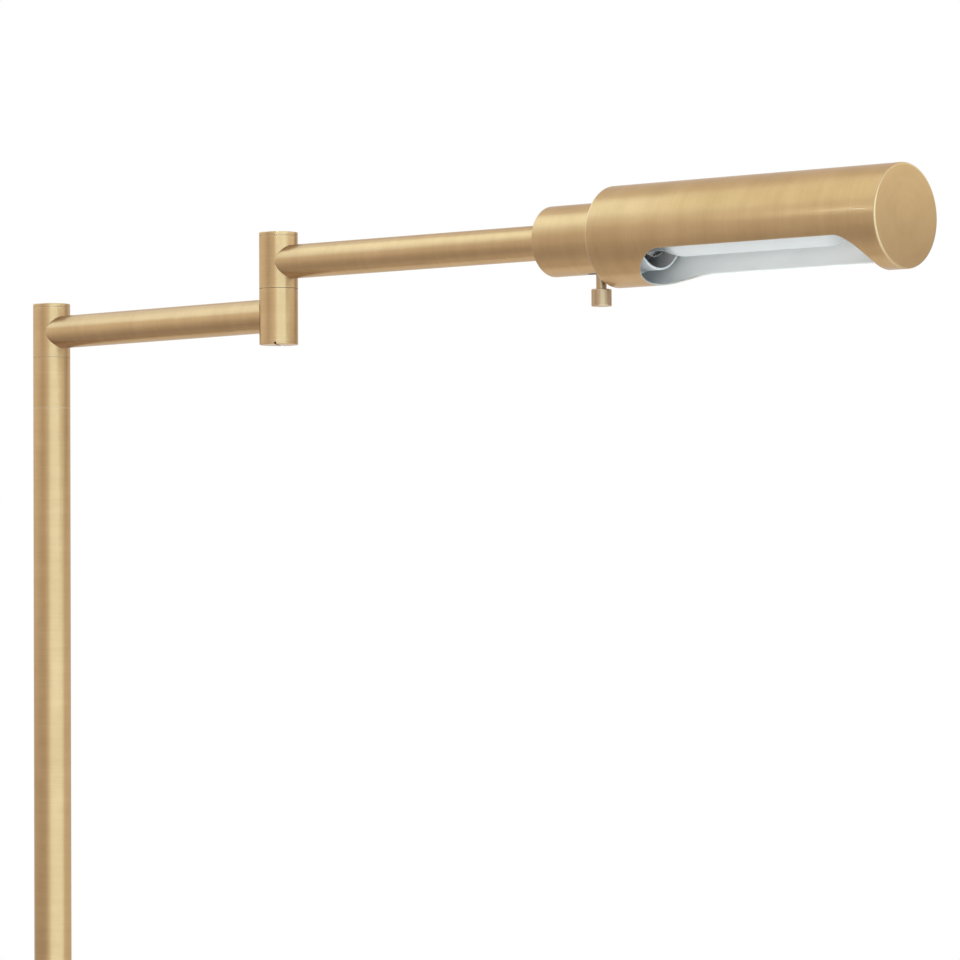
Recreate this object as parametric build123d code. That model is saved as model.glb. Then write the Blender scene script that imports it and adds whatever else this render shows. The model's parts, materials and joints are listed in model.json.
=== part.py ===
from build123d import *
import math
import os

# Task floor lamp: weighted round foot, fixed pole, two swinging arms and a tubular shade.
# Millimetres. The origin is on the floor under the pole, +Z is up, and the upper arm and
# the shade point along +X as the lamp stands at rest.

# Clearances
seat_gap = 0.03          # radial, between pieces that are fixed together
braze_gap = 0.05         # between a coped tube and the barrel that it is brazed to
running_gap = 0.05       # radial, in a bearing
face_gap = 0.05          # between flat faces that turn on each other
hole_gap = 0.2           # radial, round what passes through a plain hole

# Foot
foot_d = 254.0
foot_h = 26.0            # floor to the cover's top
cover_wall = 1.2
cover_round = 5.0        # rounding of the cover's upper edge
cover_lift = 1.0         # rim of the cover above the floor
pad_t = 2.0
pad_inset = 4.0          # rim of the pad inside the rim of the weight
weight_gap = 0.3         # round the weight, inside the cover
recess_d = 46.0          # pocket under the weight for the foot nut
recess_spare = 2.0       # between the foot nut and the pad
foot_washer_d = 36.0
foot_washer_t = 2.0
foot_nut_across = 22.0
foot_nut_h = 7.0
foot_nipple_d = 13.0
foot_nipple_bore = 9.0
gland_bore = 7.0
gland_wall = 1.5
gland_neck_l = 9.0
gland_flange = 2.0       # flange beyond the neck, all round
gland_flange_t = 1.6
gland_rise = 1.0         # flange of the gland above the pad

# Pole
pole_d = 25.4
pole_wall = 1.6
pole_lower_l = 640.0
pole_upper_l = 588.0
foot_plug_l = 24.0
nipple_grip = 18.0       # length of nipple screwed into the foot plug
coupler_l = 60.0
coupler_bore = 14.0

# Swivels
seat_h = 34.5            # fixed seat on the pole
spigot_l = 22.0          # seat inside the pole
hub_h = 34.2             # each turning knuckle
hub_wall = 3.2
hub_floor = 9.0          # solid end of a knuckle, at the seam
hub_edge = 0.35          # bevel at the ends of a knuckle
seam = 0.3               # between two knuckles
cap_t = 2.7
slot_cap_t = 2.4
cap_edge = 0.4
cap_spigot_l = 4.0
cap_spigot_wall = 1.5
slot_w = 1.5
slot_depth = 1.4
slot_turn = 122.0        # of the driver slot from +X
pivot_d = 12.0
pivot_bore = 7.0
pivot_head_t = 3.0
pivot_end = 0.8          # pivot beyond its nut
hollow_spare = 0.5       # round the pivot's head and nut in a knuckle
spring_t = 0.9
spring_dish = 0.6
pivot_nut_h = 4.0
stop_d = 2.6             # stop pin
stop_l = 6.0
stop_rise = 1.6          # pin in the groove
stop_gap = 0.15          # round the pin in the groove
stop_edge = 1.2          # wall outside the groove
stop_land = 2.2          # bridge that ends the groove

# Arms
arm_d = 22.2
arm_wall = 1.5
lower_reach = 231.0      # pole axis to elbow axis
upper_reach = 234.5      # elbow axis to the back of the cup
elbow_bend = 4.74        # upper arm from the line of the lower arm
lead_hole_d = 9.0        # through a knuckle's wall into its arm
arm_plug_l = 18.0

# Lampholder cup
cup_d = 44.45
cup_wall = 1.5
cup_back_t = 3.0
cup_round = 1.2
cup_rim = 0.4
cup_bare = 51.4          # part of the cup behind the shade
cup_inside = 33.5        # part of the cup inside the shade
cup_nipple_d = 10.0
cup_nipple_bore = 6.5
cup_nipple_grip = 14.0   # length of nipple screwed into the arm's plug
cup_nut_across = 14.0
cup_nut_h = 4.0

# Lampholder and bulb
holder_wall = 1.8
holder_boss_d = 18.0
holder_boss_l = 9.0
holder_cone_l = 8.0
holder_setback = 10.7    # front of the lampholder behind the rim of the cup
shell_wall = 0.5
shell_l = 28.0
shell_bare = 6.0         # screw shell in front of the lampholder
contact_d = 9.0
contact_t = 1.6
contact_stem_d = 4.0
contact_stem_l = 4.0
thread_gap = 0.2         # round the bulb's base in the screw shell
bulb_base_d = 26.2
bulb_base_l = 20.0
bulb_cone_l = 5.0        # end of the base, down to its tip
bulb_tip_d = 10.0
bulb_neck_d = 21.0
bulb_neck_l = 4.0        # neck of the glass held in the base
bulb_neck_bare = 11.0    # neck of the glass in front of the base
bulb_d = 30.0
bulb_shoulder_l = 18.0
bulb_flare_r = 4.0       # hollow round between neck and shoulder
bulb_glass_t = 0.8
bulb_tip_gap = 41.5      # end of the bulb to the front of the shade

# Switch
stem_back = 12.7         # switch axis behind the shade
sleeve_d = 6.5
sleeve_bare = 9.4        # sleeve below the cup
grommet_w = 8.5          # insert round the sleeve in the cup's wall
grommet_l = 5.2          # between the centres of its round ends
grommet_lip = 1.2        # its lip inside the cup, beyond the slot
grommet_lip_t = 1.0
shaft_d = 2.8
knob_d = 12.6
knob_h = 10.7
knob_edge = 0.5
knob_grip = 7.0          # shaft inside the knob
rotor_d = 10.0
rotor_h = 7.0
rotor_spare = 0.8        # round the rotor in its chamber

# Shade
shade_d = 63.5
shade_wall = 1.0
shade_l = 220.6
shade_edge = 0.8
front_cap_t = 2.0
front_cap_round = 1.2
front_spigot_l = 4.0
front_spigot_wall = 1.0
rear_plate_t = 1.6
rear_plate_inset = 0.6
mouth_w = 49.5
mouth_rear = 31.5        # back of the shade to the mouth
mouth_front = 12.7       # mouth to the front of the shade
mouth_corner = 20.5      # rounding of the mouth's front corners
shade_turn = 17.0        # mouth from straight down, towards -Y
bush_wall = 2.0
bush_l = 13.0
bush_flange = 3.0
bush_flange_t = 1.5
ring_t = 1.5             # snap ring, along the shade
ring_sunk = 0.7          # snap ring in the cup
ring_proud = 0.5         # snap ring in the bush
ring_gap = 0.12          # round the snap ring in the bush
ring_split = 3.0

# Levels and places that follow from the sizes above
hub_d = pole_d
pole_in = pole_d - 2 * pole_wall
arm_in = arm_d - 2 * arm_wall
hollow_d = hub_d - 2 * hub_wall
pole_split = foot_h + pole_lower_l
pole_top = pole_split + pole_upper_l
seat_top = pole_top + seat_h
lower_axis = seat_top + seam + hub_h / 2
upper_axis = lower_axis + hub_h + seam
elbow_x = lower_reach * math.cos(math.radians(elbow_bend))
elbow_y = -lower_reach * math.sin(math.radians(elbow_bend))
shade_back = upper_reach + cup_bare
cup_front = shade_back + cup_inside
stem_at = shade_back - stem_back
stop_r = hub_d / 2 - stop_edge - stop_gap - stop_d / 2
base_up = (Align.CENTER, Align.CENTER, Align.MIN)


def rod(d, length, at=0.0):
    # Cylinder on +Z that starts at a height
    return Pos(0, 0, at) * Cylinder(d / 2, length, align=base_up)


def pipe(outer, inner, length, at=0.0):
    return rod(outer, length, at) - rod(inner, length, at)


def hexagon(across, bore, height, at=0.0):
    corner_r = across / 2 / math.cos(math.radians(30))
    return Pos(0, 0, at) * extrude(RegularPolygon(corner_r, 6), height) - rod(bore, height, at)


def turned(*outline):
    # Solid of revolution about Z, from (radius, height) points
    return revolve(Plane.XZ * make_face(Polyline(*outline, close=True)), Axis.Z)


def across_x(solid):
    # Lays a piece that was made along +Z along +X, with its own +X downwards
    return Rot(0, 90, 0) * solid


def round_edges(solid):
    # Circular edges, lowest first
    return solid.edges().filter_by(GeomType.CIRCLE).sort_by(Axis.Z)


# Foot

def foot_cover():
    skirt_h = foot_h - cover_lift
    outside = rod(foot_d, skirt_h, cover_lift)
    outside = fillet(round_edges(outside)[-1], cover_round)
    inside = rod(foot_d - 2 * cover_wall, skirt_h - cover_wall, cover_lift)
    inside = fillet(round_edges(inside)[-1], cover_round - cover_wall)
    return outside - inside - rod(foot_nipple_d + 2 * hole_gap, foot_h) - gland_hole()


def gland_neck_d():
    return gland_bore + 2 * gland_wall


def gland_z():
    return pad_t + gland_rise + gland_neck_d() / 2 + gland_flange


def towards_back(solid):
    # Puts a piece that was made along +Z at the gland, pointing out of the foot along -X
    return Pos(-foot_d / 2, 0, gland_z()) * Rot(0, -90, 0) * solid


def gland_hole():
    return towards_back(rod(gland_neck_d() + 2 * hole_gap, 4 * cover_wall, -3 * cover_wall))


def cord_gland():
    neck = rod(gland_neck_d(), gland_neck_l, -gland_neck_l)
    flange = rod(gland_neck_d() + 2 * gland_flange, gland_flange_t)
    flange = fillet(round_edges(flange)[-1], gland_flange_t / 2)
    return towards_back(neck + flange - rod(gland_bore, gland_neck_l + gland_flange_t, -gland_neck_l))


def recess_top():
    return pad_t + recess_spare + foot_nut_h + foot_washer_t


def foot_weight():
    weight_d = foot_d - 2 * cover_wall - 2 * weight_gap
    weight = rod(weight_d, foot_h - cover_wall - pad_t, pad_t)
    weight = fillet(round_edges(weight)[-1], cover_round)
    weight -= rod(recess_d, recess_top() - pad_t, pad_t)
    weight -= rod(foot_nipple_d + 2 * hole_gap, foot_h)
    channel_top = gland_z() + gland_neck_d() / 2 + hole_gap
    channel_l = foot_d / 2
    channel_w = gland_neck_d() + 2 * hole_gap
    channel = Box(channel_l, channel_w, channel_top - pad_t, align=(Align.MAX, Align.CENTER, Align.MIN))
    return weight - Pos(0, 0, pad_t) * channel


def foot_pieces():
    pad_d = foot_d - 2 * cover_wall - 2 * weight_gap - 2 * pad_inset
    nut_at = recess_top() - foot_washer_t - foot_nut_h
    nipple_end = foot_h + nipple_grip
    thread = foot_nipple_d + 2 * seat_gap
    return {
        "base_pad": rod(pad_d, pad_t),
        "base_weight": foot_weight(),
        "base_cover": foot_cover(),
        "cord_gland": cord_gland(),
        "base_washer": pipe(foot_washer_d, thread, foot_washer_t, recess_top() - foot_washer_t),
        "base_nut": hexagon(foot_nut_across, thread, foot_nut_h, nut_at),
        "base_nipple": pipe(foot_nipple_d, foot_nipple_bore, nipple_end - nut_at, nut_at),
    }


# Pole

def pole_pieces():
    plug_d = pole_in - 2 * seat_gap
    return {
        "pole_foot_plug": pipe(plug_d, foot_nipple_d + 2 * seat_gap, foot_plug_l, foot_h),
        "pole_lower_tube": pipe(pole_d, pole_in, pole_lower_l, foot_h),
        "pole_coupler": pipe(plug_d, coupler_bore, coupler_l, pole_split - coupler_l / 2),
        "pole_upper_tube": pipe(pole_d, pole_in, pole_upper_l, pole_split),
    }


# Swivels

def barrel(height):
    body = rod(hub_d, height)
    return chamfer(round_edges(body), hub_edge)


def lead_hole():
    # From the axis of a knuckle out into its arm, along +X
    return Pos(0, 0, hub_h / 2) * across_x(rod(lead_hole_d, hub_d))


def lower_half(height):
    # Half of a swivel that carries the pivot: solid end on top, hollow below
    body = barrel(height)
    body -= rod(hollow_d, height - hub_floor)
    body -= rod(pivot_d + 2 * seat_gap, height)
    return body - Pos(stop_r, 0, height - stop_l + stop_rise) * rod(stop_d + 2 * seat_gap, stop_l)


def upper_half():
    # Half of a swivel that turns on the pivot: solid end below, hollow on top, stop groove
    body = barrel(hub_h)
    body -= rod(hollow_d, hub_h - hub_floor, hub_floor)
    body -= rod(pivot_d + 2 * running_gap, hub_h)
    groove_w = stop_d + 2 * stop_gap
    groove_h = stop_rise + stop_gap
    groove = pipe(2 * stop_r + groove_w, 2 * stop_r - groove_w, groove_h)
    land = Pos(-stop_r, 0, 0) * Box(2 * groove_w, stop_land, 2 * groove_h)
    return body - (groove - land) - lead_hole()


def end_cap(thickness):
    # Closes the hollow of a knuckle
    plate = rod(hub_d, thickness)
    plate = chamfer(round_edges(plate)[-1], cap_edge)
    fit_d = hollow_d - 2 * seat_gap
    return plate + pipe(fit_d, fit_d - 2 * cap_spigot_wall, cap_spigot_l, -cap_spigot_l)


def slotted_cap():
    cap = end_cap(slot_cap_t)
    return cap - Pos(0, 0, slot_cap_t) * Box(2 * hub_d, slot_w, 2 * slot_depth)


def pivot_set(name):
    # Pivot bolt, washers, nut and stop pin of a swivel, with the lower half's top at zero
    head_d = hollow_d - 2 * hollow_spare
    spring_at = seam + hub_floor + face_gap
    nut_at = spring_at + spring_t + spring_dish
    end = nut_at + pivot_nut_h + pivot_end
    bolt = rod(pivot_d, end + hub_floor, -hub_floor) + rod(head_d, pivot_head_t, -hub_floor - pivot_head_t)
    bolt -= rod(pivot_bore, end + hub_floor + pivot_head_t, -hub_floor - pivot_head_t)
    fit_r = pivot_d / 2 + seat_gap
    spring_r = head_d / 2
    spring = turned(
        (fit_r, spring_at + spring_dish),
        (spring_r, spring_at),
        (spring_r, spring_at + spring_t),
        (fit_r, spring_at + spring_dish + spring_t),
    )
    washer_d = 2 * stop_r - stop_d - 2 * stop_gap
    return {
        name + "_pivot": bolt,
        name + "_seam_washer": pipe(washer_d, 2 * fit_r, seam - face_gap),
        name + "_spring_washer": spring,
        name + "_pivot_nut": hexagon(head_d * math.cos(math.radians(30)), 2 * fit_r, pivot_nut_h, nut_at),
        name + "_stop_pin": Pos(stop_r, 0, 0) * rod(stop_d, stop_l, stop_rise + seam - stop_l),
    }


def moved(place, pieces):
    return {name: place * solid for name, solid in pieces.items()}


def pole_swivel_pieces():
    # The stop pin stands under the lower arm, so that the arm swings alike both ways
    seat = lower_half(seat_h) + pipe(pole_in - 2 * seat_gap, hollow_d, spigot_l, -spigot_l)
    place = Pos(0, 0, pole_top) * Rot(0, 0, -elbow_bend)
    pieces = {"pole_swivel_seat": place * seat}
    pieces.update(moved(place * Pos(0, 0, seat_h), pivot_set("pole")))
    return pieces


# Arms

def coped_tube(length):
    # Tube along +Z whose start is cut to the barrel of a knuckle, which stands along X
    saddle = Rot(0, 90, 0) * Cylinder(hub_d / 2 + braze_gap, 2 * hub_d)
    return pipe(arm_d, arm_in, length) - saddle, saddle


def lower_arm_pieces():
    tube, saddle = coped_tube(lower_reach)
    tube -= Pos(0, 0, lower_reach) * saddle
    along = Rot(0, 0, -elbow_bend)
    low = Pos(0, 0, lower_axis - hub_h / 2)
    far = Pos(lower_reach, 0, 0)
    elbow_half = lower_half(hub_h) - Rot(0, 0, 180) * lead_hole()
    turn_slot = Rot(0, 0, slot_turn + elbow_bend)
    pieces = {
        "pole_knuckle": low * upper_half(),
        "pole_top_cap": low * Pos(0, 0, hub_h) * end_cap(cap_t),
        "lower_arm_tube": Pos(0, 0, lower_axis) * across_x(tube),
        "elbow_lower_knuckle": low * far * elbow_half,
        "elbow_bottom_cap": low * far * turn_slot * Rot(180, 0, 0) * slotted_cap(),
    }
    pieces.update(moved(low * far * Pos(0, 0, hub_h), pivot_set("elbow")))
    return moved(along, pieces)


def upper_arm_pieces():
    tube, saddle = coped_tube(upper_reach)
    plug = pipe(arm_in - 2 * seat_gap, cup_nipple_d + 2 * seat_gap, arm_plug_l, upper_reach - arm_plug_l)
    low = Pos(elbow_x, elbow_y, upper_axis - hub_h / 2)
    pieces = {
        "elbow_upper_knuckle": low * upper_half(),
        "elbow_top_cap": low * Pos(0, 0, hub_h) * end_cap(cap_t),
    }
    pieces.update(moved(head_place(), {"upper_arm_tube": tube, "arm_end_plug": plug}))
    return pieces


def head_place():
    # Head pieces are made along +Z from the elbow's axis, with +X downwards
    return Pos(elbow_x, elbow_y, upper_axis) * Rot(0, 90, 0)


# Lampholder

def below(solid):
    # Puts a piece that was made along +Z on the switch axis, pointing down from the head's axis
    return Pos(0, 0, stem_at) * Rot(0, 90, 0) * solid


def ring_at():
    # Back of the snap ring, at the middle of the bush
    return bush_back() + (bush_l - ring_t) / 2


def bush_back():
    return shade_back + rear_plate_inset


def socket_cup():
    length = cup_bare + cup_inside
    cup = rod(cup_d, length, upper_reach)
    cup = fillet(round_edges(cup)[0], cup_round)
    cup -= rod(cup_d - 2 * cup_wall, length, upper_reach + cup_back_t)
    cup = fillet(round_edges(cup)[-2:], cup_rim)
    cup -= rod(cup_nipple_d + 2 * hole_gap, 2 * cup_back_t, upper_reach - cup_back_t)
    cup -= switch_slot(grommet_w)
    return cup - pipe(2 * cup_d, cup_d - 2 * ring_sunk, ring_t + 2 * seat_gap, ring_at() - seat_gap)


def switch_slot(width):
    # Long hole round the sleeve, with most of its length behind it
    return below(extrude(Pos(grommet_l / 2, 0) * SlotCenterToCenter(grommet_l, width), cup_d))


def switch_grommet():
    # Insert that fills the slot flush with the cup, held by a lip inside
    cup_in = cup_d - 2 * cup_wall
    lip_in = cup_in - 2 * grommet_lip_t
    plug = switch_slot(grommet_w - 2 * seat_gap) & pipe(cup_d, lip_in, cup_bare, upper_reach)
    lip = switch_slot(grommet_w + 2 * grommet_lip) & pipe(cup_in - 2 * seat_gap, lip_in, cup_bare, upper_reach)
    return plug + lip - below(rod(sleeve_d + 2 * seat_gap, cup_d))


def snap_ring():
    # Split ring, half in the cup's groove and half in the bush's
    ring = pipe(cup_d + 2 * ring_proud, cup_d - 2 * ring_sunk + 2 * seat_gap, ring_t, ring_at())
    return ring - Pos(-cup_d / 2, 0, ring_at()) * Box(cup_d / 2, ring_split, 4 * ring_t)


def shell_d():
    return bulb_base_d + 2 * thread_gap + 2 * shell_wall


def holder_front():
    return cup_front - holder_setback


def holder_back():
    return upper_reach + cup_back_t + cup_nut_h


def shell_front():
    return holder_front() + shell_bare


def holder_floor():
    return shell_front() - shell_l - contact_t


def holder_d():
    return shell_d() + 2 * seat_gap + 2 * holder_wall


def lampholder_body():
    back = holder_back()
    boss = back + holder_boss_l
    body = turned(
        (0, back),
        (holder_boss_d / 2, back),
        (holder_boss_d / 2, boss),
        (holder_d() / 2, boss + holder_cone_l),
        (holder_d() / 2, holder_front()),
        (0, holder_front()),
    )
    body -= rod(shell_d() + 2 * seat_gap, shell_l + contact_t, holder_floor())
    body -= rod(cup_nipple_d + 2 * seat_gap, holder_boss_l, back)
    body -= rod(cup_nipple_bore, stem_at - back, back)
    body -= rod(contact_stem_d + 2 * seat_gap, contact_stem_l, holder_floor() - contact_stem_l)
    body -= below(rod(sleeve_d + 2 * seat_gap, holder_d()))
    return body - below(rod(rotor_d + 2 * rotor_spare, rotor_h + 2 * rotor_spare, -rotor_h / 2 - rotor_spare))


def bulb_glass():
    # Tubular bulb: neck, shoulder, straight tube and round end, as a thin shell
    start = bulb_base_front() - bulb_neck_l
    end = shade_back + shade_l - bulb_tip_gap
    return bulb_form(start, end, 0) - bulb_form(start - bulb_glass_t, end - bulb_glass_t, bulb_glass_t)


def bulb_form(start, end, inset):
    neck_r = bulb_neck_d / 2 - inset
    tube_r = bulb_d / 2 - inset
    neck_end = bulb_base_front() + bulb_neck_bare
    shoulder_end = neck_end + bulb_shoulder_l
    # Shoulder of a hollow arc and a full one, which meet at this slope
    slope = 2 * math.atan2(tube_r - neck_r, bulb_shoulder_l)
    middle = (neck_r + bulb_flare_r * (1 - math.cos(slope)), neck_end + bulb_flare_r * math.sin(slope))
    flare = TangentArc((neck_r, neck_end), middle, tangent=(0, 1))
    swell = TangentArc(middle, (tube_r, shoulder_end), tangent=flare % 1)
    outline = [
        Polyline((0, start), (neck_r, start), (neck_r, neck_end)),
        flare,
        swell,
        Line((tube_r, shoulder_end), (tube_r, end - tube_r)),
        TangentArc((tube_r, end - tube_r), (0, end), tangent=(0, 1)),
        Line((0, end), (0, start)),
    ]
    return revolve(Plane.XZ * make_face(outline), Axis.Z)


def bulb_tip():
    # Bulb screwed home on the contact
    return holder_floor() + contact_t


def bulb_base_front():
    return bulb_tip() + bulb_cone_l + bulb_base_l


def bulb_base():
    front = bulb_base_front()
    back = front - bulb_base_l
    tip = bulb_tip()
    base = turned(
        (0, tip),
        (bulb_tip_d / 2, tip),
        (bulb_base_d / 2, back),
        (bulb_base_d / 2, front),
        (0, front),
    )
    return base - rod(bulb_neck_d + 2 * seat_gap, bulb_neck_l, front - bulb_neck_l)


def lampholder_pieces():
    thread = cup_nipple_d + 2 * seat_gap
    nut_at = upper_reach + cup_back_t
    nipple_at = upper_reach - cup_nipple_grip
    nipple_l = cup_nipple_grip + cup_back_t + cup_nut_h + holder_boss_l
    shell_at = shell_front() - shell_l
    sleeve_l = cup_d / 2 + sleeve_bare - rotor_h / 2 - rotor_spare
    contact = rod(contact_d, contact_t, holder_floor())
    contact += rod(contact_stem_d, contact_stem_l, holder_floor() - contact_stem_l)
    sleeve = pipe(sleeve_d, shaft_d + 2 * running_gap, sleeve_l, rotor_h / 2 + rotor_spare)
    return moved(head_place(), {
        "cup_nipple": pipe(cup_nipple_d, cup_nipple_bore, nipple_l, nipple_at),
        "cup_lock_nut": hexagon(cup_nut_across, thread, cup_nut_h, nut_at),
        "socket_cup": socket_cup(),
        "cup_snap_ring": snap_ring(),
        "lampholder_body": lampholder_body(),
        "lampholder_screw_shell": pipe(shell_d(), shell_d() - 2 * shell_wall, shell_l, shell_at),
        "lampholder_contact": contact,
        "switch_grommet": switch_grommet(),
        "switch_sleeve": below(sleeve),
        "bulb_base": bulb_base(),
        "bulb_glass": bulb_glass(),
    })


# Switch knob

def knob_pieces():
    knob_top = cup_d / 2 + sleeve_bare + face_gap
    knob = rod(knob_d, knob_h, knob_top)
    knob = chamfer(round_edges(knob), knob_edge)
    knob -= rod(shaft_d + 2 * seat_gap, knob_grip, knob_top)
    shaft_l = knob_top + knob_grip + rotor_h / 2
    rotor = pipe(rotor_d, shaft_d + 2 * seat_gap, rotor_h, -rotor_h / 2)
    return moved(head_place(), {
        "switch_rotor": below(rotor),
        "switch_shaft": below(rod(shaft_d, shaft_l, -rotor_h / 2)),
        "switch_knob": below(knob),
    })


# Shade

def mouth():
    # Prism through the wall on one side: the rear end is a half circle, the front has round corners
    rear = shade_back + mouth_rear
    front = shade_back + shade_l - mouth_front
    straight_l = front - rear - mouth_w / 2
    panel = Pos(0, rear + mouth_w / 2 + straight_l / 2) * Rectangle(mouth_w, straight_l)
    panel = fillet(panel.vertices().sort_by(Axis.Y)[-2:], mouth_corner)
    outline = panel + Pos(0, rear + mouth_w / 2) * Circle(mouth_w / 2)
    return extrude(Plane.YZ * outline, shade_d)


def shade_pieces():
    shade_in = shade_d - 2 * shade_wall
    fit_d = shade_in - 2 * seat_gap
    front = shade_back + shade_l - front_cap_t
    tube = rod(shade_d, shade_l - front_cap_t, shade_back)
    tube = fillet(round_edges(tube)[0], shade_edge)
    tube -= rod(shade_in, shade_l, shade_back)
    cap = rod(shade_d, front_cap_t, front)
    cap = fillet(round_edges(cap)[-1], front_cap_round)
    cap += pipe(fit_d, fit_d - 2 * front_spigot_wall, front_spigot_l, front - front_spigot_l)
    bush_in = cup_d + 2 * running_gap
    bush_d = bush_in + 2 * bush_wall
    flange_at = bush_back() + rear_plate_t
    bush = rod(bush_d, bush_l, bush_back()) + rod(bush_d + 2 * bush_flange, bush_flange_t, flange_at)
    bush -= rod(bush_in, bush_l, bush_back())
    bush -= rod(cup_d + 2 * ring_proud + 2 * ring_gap, ring_t + 2 * ring_gap, ring_at() - ring_gap)
    turned_to = head_place() * Rot(0, 0, -shade_turn)
    return moved(turned_to, {
        "shade_tube": tube - mouth(),
        "shade_front_cap": cap,
        "shade_rear_plate": pipe(fit_d, bush_d + 2 * seat_gap, rear_plate_t, bush_back()),
        "shade_turn_bush": bush,
    })


part = {}
part.update(foot_pieces())
part.update(pole_pieces())
part.update(pole_swivel_pieces())
part.update(lower_arm_pieces())
part.update(upper_arm_pieces())
part.update(lampholder_pieces())
part.update(knob_pieces())
part.update(shade_pieces())

os.makedirs("parts", exist_ok=True)
for name, solid in part.items():
    export_step(solid, f"parts/{name}.step")
    print(name, round(solid.volume))
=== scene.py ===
import json
import math

import bmesh
import bpy
import numpy as np
from mathutils import Matrix, Vector


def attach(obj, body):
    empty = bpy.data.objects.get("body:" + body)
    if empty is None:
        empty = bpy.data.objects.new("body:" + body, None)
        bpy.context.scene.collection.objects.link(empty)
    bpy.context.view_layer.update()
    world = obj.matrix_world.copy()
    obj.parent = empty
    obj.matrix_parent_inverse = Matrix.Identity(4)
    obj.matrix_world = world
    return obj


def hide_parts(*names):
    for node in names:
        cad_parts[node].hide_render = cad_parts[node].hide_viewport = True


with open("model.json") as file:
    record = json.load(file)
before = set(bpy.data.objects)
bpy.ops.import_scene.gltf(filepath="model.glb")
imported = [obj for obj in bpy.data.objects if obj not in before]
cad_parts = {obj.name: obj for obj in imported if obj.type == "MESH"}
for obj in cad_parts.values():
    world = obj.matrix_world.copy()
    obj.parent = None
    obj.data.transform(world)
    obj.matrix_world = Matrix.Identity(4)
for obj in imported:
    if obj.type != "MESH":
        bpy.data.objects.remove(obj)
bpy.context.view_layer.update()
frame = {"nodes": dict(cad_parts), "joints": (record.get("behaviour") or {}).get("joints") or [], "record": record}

scene = bpy.context.scene
mm = 0.001
fullTurn = 2 * math.pi
quarterTurn = math.pi / 2


# places, all in millimetres, read from the joints of the frame

jointAt = {joint["name"]: np.array(joint["pos_m"]) / mm for joint in frame["joints"]}
lowerAxis = jointAt["pole_swivel"][2]
elbow = jointAt["elbow_swivel"]
shadeBack = jointAt["shade_turn"]
knobTop = jointAt["knob_turn"]
seam = 0.3                              # between the two halves of a swivel
hubHeight = elbow[2] - lowerAxis - seam
mouthTurn = math.radians(17.0)          # mouth of the shade from straight down, towards the viewer


def placeOf(origin, axis, side):
    # own frame of a piece: u sideways, v the third direction, a along its axis
    a = np.array(axis, float)
    u = np.array(side, float)
    a = a / np.linalg.norm(a)
    u = u / np.linalg.norm(u)
    return {"o": np.array(origin, float), "u": u, "v": np.cross(a, u), "a": a}


polePlace = placeOf((0, 0, 0), (0, 0, 1), (1, 0, 0))
elbowPlace = placeOf((elbow[0], elbow[1], 0), (0, 0, 1), (1, 0, 0))
lowerArmPlace = placeOf((0, 0, lowerAxis), (elbow[0], elbow[1], 0), (0, 0, 1))
headPlace = placeOf(elbow, (1, 0, 0), (0, 0, -1))
shadePlace = placeOf(shadeBack, (1, 0, 0), (0, -math.sin(mouthTurn), -math.cos(mouthTurn)))
knobPlace = placeOf((knobTop[0], knobTop[1], elbow[2]), (0, 0, -1), (1, 0, 0))


# camera

cameraView = {
    "lens": 195.13,
    "sensor": 36.0,
    "at": (2.5453, -2.5166, 1.0697),
    "right": (0.75908, 0.65105, 0.0),
    "pitch": 2.146,                     # degrees, looking up
    "roll": 0.2955,
    "clipEnd": 60.0,
}


def addCamera(spec):
    level = Vector(spec["right"]).normalized()
    ahead = Vector((0, 0, 1)).cross(level)
    pitch = math.radians(spec["pitch"])
    roll = math.radians(spec["roll"])
    forward = ahead * math.cos(pitch) + Vector((0, 0, 1)) * math.sin(pitch)
    upright = level.cross(forward)
    right = level * math.cos(roll) - upright * math.sin(roll)
    up = upright * math.cos(roll) + level * math.sin(roll)
    data = bpy.data.cameras.new("camera")
    data.lens = spec["lens"]
    data.sensor_width = spec["sensor"]
    data.clip_end = spec["clipEnd"]
    camera = bpy.data.objects.new("camera", data)
    scene.collection.objects.link(camera)
    pose = Matrix((right, up, -forward)).transposed().to_4x4()
    pose.translation = Vector(spec["at"])
    camera.matrix_world = pose
    scene.camera = camera


addCamera(cameraView)
print("camera: lens", cameraView["lens"])


# shader helpers

def newTree(material):
    material.use_nodes = True
    tree = material.node_tree
    return tree, tree.nodes["Principled BSDF"]


def node(tree, kind, inputs=(), **settings):
    # an input takes another node's output as a link, and anything else as its own value
    made = tree.nodes.new(kind)
    for key, value in settings.items():
        setattr(made, key, value)
    for key, value in dict(inputs).items():
        if hasattr(value, "is_linked"):
            tree.links.new(value, made.inputs[key])
        else:
            made.inputs[key].default_value = value
    return made


def colour(r, g, b):
    return (r, g, b, 1.0)


def mixColours(tree, factor, first, second):
    inputs = {0: factor, 6: first, 7: second}       # the Mix node's sockets for colours
    return node(tree, "ShaderNodeMix", inputs, data_type="RGBA").outputs[2]


def calc(tree, operation, first, second):
    return node(tree, "ShaderNodeMath", {0: first, 1: second}, operation=operation).outputs[0]


def scaled(tree, vector, factors):
    return node(tree, "ShaderNodeVectorMath", {0: vector, 1: factors}, operation="MULTIPLY").outputs[0]


def fromAxis(tree, local):
    flat = scaled(tree, local, (1, 1, 0))
    return node(tree, "ShaderNodeVectorMath", {0: flat}, operation="LENGTH").outputs["Value"]


def mapRange(tree, value, limits, low=0.0, high=1.0):
    inputs = {"Value": value, "From Min": limits[0], "From Max": limits[1], "To Min": low, "To Max": high}
    return node(tree, "ShaderNodeMapRange", inputs).outputs["Result"]


def noise(tree, vector, scale=1.0, detail=2.0, roughness=0.5):
    inputs = {"Vector": vector, "Scale": scale, "Detail": detail, "Roughness": roughness}
    return node(tree, "ShaderNodeTexNoise", inputs).outputs["Fac"]


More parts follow.
